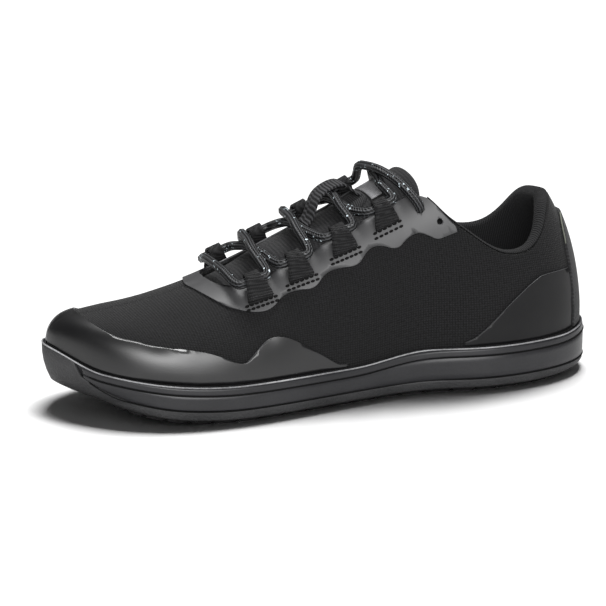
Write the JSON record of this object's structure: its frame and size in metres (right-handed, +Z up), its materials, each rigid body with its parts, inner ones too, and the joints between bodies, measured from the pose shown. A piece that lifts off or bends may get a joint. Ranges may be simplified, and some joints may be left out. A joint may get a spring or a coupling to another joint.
{
  "type": "barefoot shoe",
  "caption": "Low lace-up barefoot shoe, left foot, with a wide toe box, thin cup sole, webbing lace loops, film overlays and a padded collar.",
  "frame": {"origin": "on the floor, under the middle of the shoe's overall box", "axes": "+X towards the heel and -X towards the toe, -Y towards the lateral side, +Z up"},
  "size_m": [0.2798, 0.0942, 0.1123],
  "materials": {
    "sole_rubber": "matt",
    "midsole_foam": "matt",
    "insole_textile": "matt",
    "upper_fabric": "matt woven",
    "overlay_film": "satin",
    "label_textile": "matt",
    "collar_knit": "matt knitted",
    "lace_cord": "matt braided",
    "webbing": "matt ribbed"
  },
  "bodies": {
    "root": {"outsole": "sole_rubber", "midsole": "midsole_foam", "insole": "insole_textile", "upper": "upper_fabric", "toe_cap": "overlay_film", "eyestay": "overlay_film", "heel_counter_lateral": "overlay_film", "heel_counter_medial": "overlay_film", "heel_strip": "upper_fabric", "tongue": "upper_fabric", "tongue_label": "label_textile", "collar_lining": "collar_knit", "lace": "lace_cord", "lace_keeper": "webbing", "lace_loop_lateral_1": "webbing", "lace_loop_lateral_2": "webbing", "lace_loop_lateral_3": "webbing", "lace_loop_lateral_4": "webbing", "lace_loop_medial_1": "webbing", "lace_loop_medial_2": "webbing", "lace_loop_medial_3": "webbing", "lace_loop_medial_4": "webbing"}
  },
  "joints": []
}
